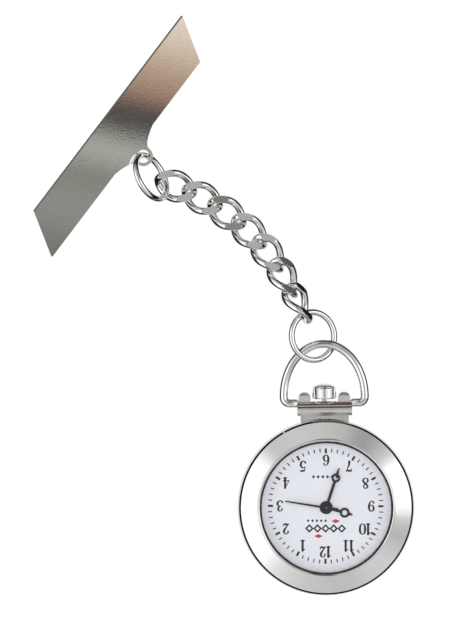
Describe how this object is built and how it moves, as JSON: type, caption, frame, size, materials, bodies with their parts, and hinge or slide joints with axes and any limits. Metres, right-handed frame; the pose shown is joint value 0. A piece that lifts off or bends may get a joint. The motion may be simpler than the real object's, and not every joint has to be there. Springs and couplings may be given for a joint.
{
  "type": "fob watch",
  "caption": "Quartz nurse's fob watch: a round watch hanging upside down by a bow, jump rings and a short curb chain from a slanted bar brooch with a hinged safety pin.",
  "frame": {"origin": "centre of the case back's resting face; the watch lies on its back on the table plane z = 0", "axes": "+X to the right across the dial, +Y from the watch's centre towards the bow, chain and brooch, +Z out of the dial"},
  "size_m": [0.069, 0.1065, 0.0089],
  "materials": {
    "polished_chrome": "mirror polished, slight orange peel",
    "satin_steel": "satin brushed",
    "polished_steel": "polished",
    "bright_steel": "fine ground",
    "movement_brass": "satin",
    "clear_crystal": "clear, polished",
    "gasket_black": "matt",
    "dial_white": "satin lacquer, off-white with a slight lavender tone",
    "hand_black": "gloss black lacquer",
    "ring_plastic": "moulded",
    "board_green": "solder mask",
    "chip_black": "moulded epoxy",
    "coil_copper": "enamelled copper wire"
  },
  "bodies": {
    "brooch": {"brooch_plate": "polished_chrome", "pin_base": "satin_steel", "pin_hinge_rivet": "bright_steel", "catch_housing": "satin_steel"},
    "pin": {"pin_stem": "bright_steel"},
    "catch": {"catch_rotor": "bright_steel"},
    "top_ring": {"top_jump_ring": "polished_steel"},
    "link_1": {"curb_link_1": "polished_steel"},
    "link_2": {"curb_link_2": "polished_steel"},
    "link_3": {"curb_link_3": "polished_steel"},
    "link_4": {"curb_link_4": "polished_steel"},
    "link_5": {"curb_link_5": "polished_steel"},
    "link_6": {"curb_link_6": "polished_steel"},
    "link_7": {"curb_link_7": "polished_steel"},
    "bottom_ring": {"bottom_jump_ring": "polished_steel"},
    "bow": {"bow": "polished_steel"},
    "case": {"pendant_yoke": "satin_steel", "pendant_tube": "bright_steel", "case_middle": "polished_chrome", "bezel": "satin_steel", "crystal": "clear_crystal", "crystal_gasket": "gasket_black", "case_back": "polished_chrome", "case_back_gasket": "gasket_black", "dial": "dial_white", "movement_holder": "ring_plastic", "main_plate": "movement_brass", "train_bridge": "movement_brass", "bridge_screw_1": "bright_steel", "bridge_screw_2": "bright_steel", "bridge_screw_3": "bright_steel", "circuit_board": "board_green", "quartz_can": "bright_steel", "ic_chip": "chip_black", "coil": "coil_copper", "coil_core": "bright_steel", "stator": "satin_steel", "battery_cell": "bright_steel", "battery_clamp": "satin_steel"},
    "crown_stop": {"crown_gasket": "gasket_black"},
    "crown": {"crown": "polished_steel", "winding_stem": "bright_steel"},
    "clutch": {"sliding_pinion": "bright_steel"},
    "yoke_lever": {"yoke_lever": "bright_steel"},
    "setting_lever": {"setting_lever": "bright_steel"},
    "setting_wheel": {"setting_wheel": "bright_steel"},
    "step_rotor": {"rotor": "bright_steel"},
    "intermediate": {"intermediate_wheel": "ring_plastic"},
    "second": {"second_wheel": "movement_brass", "second_hand": "hand_black"},
    "third": {"third_wheel": "movement_brass"},
    "centre": {"centre_wheel": "movement_brass", "cannon_pinion": "bright_steel", "minute_hand": "hand_black"},
    "minute": {"minute_wheel": "movement_brass"},
    "hour": {"hour_wheel": "movement_brass", "hour_hand": "hand_black"}
  },
  "joints": [
    {"name": "pin_swing", "type": "hinge", "parent": "brooch", "child": "pin", "pos_m": [-0.04891, 0.05589, 0.00179], "axis": [-0.7803, 0.6097, 0.1392], "range_deg": [0, 70]},
    {"name": "catch_turn", "type": "hinge", "parent": "brooch", "child": "catch", "pos_m": [-0.02891, 0.0815, 0.00179], "axis": [0.6157, 0.788, 0], "range_deg": [-100, 0]},
    {"name": "top_ring_swing", "type": "hinge", "parent": "brooch", "child": "top_ring", "pos_m": [-0.03259, 0.06471, 0.00368], "axis": [0.6157, 0.788, 0], "range_deg": [-6, 6]},
    {"name": "link_1_swing", "type": "hinge", "parent": "top_ring", "child": "link_1", "pos_m": [-0.02924, 0.06026, 0.00153], "axis": [0, 0, 1], "range_deg": [-8, 4]},
    {"name": "link_2_swing", "type": "hinge", "parent": "link_1", "child": "link_2", "pos_m": [-0.02426, 0.05825, 0.00147], "axis": [0.4772, 0.8788, 0], "range_deg": [-10, 10]},
    {"name": "link_3_swing", "type": "hinge", "parent": "link_2", "child": "link_3", "pos_m": [-0.01954, 0.05569, 0.00144], "axis": [0.0129, 0.0555, 0.9984], "range_deg": [-10, 10]},
    {"name": "link_4_swing", "type": "hinge", "parent": "link_3", "child": "link_4", "pos_m": [-0.01522, 0.0525, 0.00156], "axis": [0.6983, 0.6985, -0.1562], "range_deg": [-10, 10]},
    {"name": "link_5_swing", "type": "hinge", "parent": "link_4", "child": "link_5", "pos_m": [-0.0114, 0.04874, 0.00185], "axis": [0.2356, 0.2586, 0.9368], "range_deg": [-10, 10]},
    {"name": "link_6_swing", "type": "hinge", "parent": "link_5", "child": "link_6", "pos_m": [-0.00829, 0.04438, 0.00227], "axis": [0.7121, 0.3407, -0.6138], "range_deg": [-10, 10]},
    {"name": "link_7_swing", "type": "hinge", "parent": "link_6", "child": "link_7", "pos_m": [-0.00569, 0.0397, 0.00268], "axis": [0.7281, 0.4363, 0.5287], "range_deg": [-10, 10]},
    {"name": "bottom_ring_swing", "type": "hinge", "parent": "link_7", "child": "bottom_ring", "pos_m": [-0.00314, 0.03499, 0.00305], "axis": [0.4932, 0.2022, -0.8461], "range_deg": [-6, 6]},
    {"name": "bow_on_ring_swing", "type": "hinge", "parent": "bottom_ring", "child": "bow", "pos_m": [-0.0012, 0.02979, 0.00236], "axis": [1, 0, 0], "range_deg": [-3, 6]},
    {"name": "bow_hinge", "type": "hinge", "parent": "bow", "child": "case", "pos_m": [0, 0.01905, 0.0027], "axis": [1, 0, 0], "range_deg": [-80, 80]},
    {"name": "crown_pull", "type": "slide", "parent": "case", "child": "crown_stop", "axis": [0, 1, 0], "range_m": [0, 0.0008]},
    {"name": "crown_turn", "type": "hinge", "parent": "crown_stop", "child": "crown", "pos_m": [0, 0.02, 0.0027], "axis": [0, 1, 0], "continuous": true},
    {"name": "clutch_slide", "type": "slide", "parent": "crown", "child": "clutch", "axis": [0, 1, 0], "range_m": [-0.0014, 0]},
    {"name": "yoke_lever_swing", "type": "hinge", "parent": "case", "child": "yoke_lever", "pos_m": [0.0036, 0.005, 0.0027], "axis": [0, 0, 1], "range_deg": [0, 11.5]},
    {"name": "lever_swing", "type": "hinge", "parent": "case", "child": "setting_lever", "pos_m": [0.0036, 0.007, 0.0027], "axis": [0, 0, 1], "range_deg": [-14.1, 0]},
    {"name": "second_spin", "type": "hinge", "parent": "case", "child": "second", "pos_m": [0, 0, 0.0025], "axis": [0, 0, 1], "continuous": true},
    {"name": "rotor_spin", "type": "hinge", "parent": "case", "child": "step_rotor", "pos_m": [-0.00388, 0.00224, 0.0025], "axis": [0, 0, 1], "continuous": true},
    {"name": "intermediate_spin", "type": "hinge", "parent": "case", "child": "intermediate", "pos_m": [-0.00218, 0.00126, 0.0022], "axis": [0, 0, 1], "continuous": true},
    {"name": "third_spin", "type": "hinge", "parent": "case", "child": "third", "pos_m": [0.0023, -0.00084, 0.0028], "axis": [0, 0, 1], "continuous": true},
    {"name": "centre_spin", "type": "hinge", "parent": "case", "child": "centre", "pos_m": [0, 0, 0.004], "axis": [0, 0, 1], "continuous": true},
    {"name": "minute_wheel_spin", "type": "hinge", "parent": "case", "child": "minute", "pos_m": [0, 0.0024, 0.0042], "axis": [0, 0, 1], "continuous": true},
    {"name": "hour_spin", "type": "hinge", "parent": "case", "child": "hour", "pos_m": [0, 0, 0.0045], "axis": [0, 0, 1], "continuous": true},
    {"name": "setting_wheel_spin", "type": "hinge", "parent": "case", "child": "setting_wheel", "pos_m": [0, 0.005, 0.0042], "axis": [0, 0, 1], "continuous": true}
  ],
  "couplings": [
    {"joint": "rotor_spin", "follows": "second_spin", "ratio": 30},
    {"joint": "intermediate_spin", "follows": "second_spin", "ratio": -5},
    {"joint": "third_spin", "follows": "second_spin", "ratio": -0.13333},
    {"joint": "centre_spin", "follows": "second_spin", "ratio": 0.016667},
    {"joint": "minute_wheel_spin", "follows": "second_spin", "ratio": -0.0055556},
    {"joint": "hour_spin", "follows": "second_spin", "ratio": 0.0013889},
    {"joint": "setting_wheel_spin", "follows": "second_spin", "ratio": 0.0125},
    {"joint": "clutch_slide", "follows": "crown_pull", "ratio": -1.75},
    {"joint": "yoke_lever_swing", "follows": "crown_pull", "rad_per_m": 246.53},
    {"joint": "lever_swing", "follows": "crown_pull", "rad_per_m": -303.25}
  ]
}
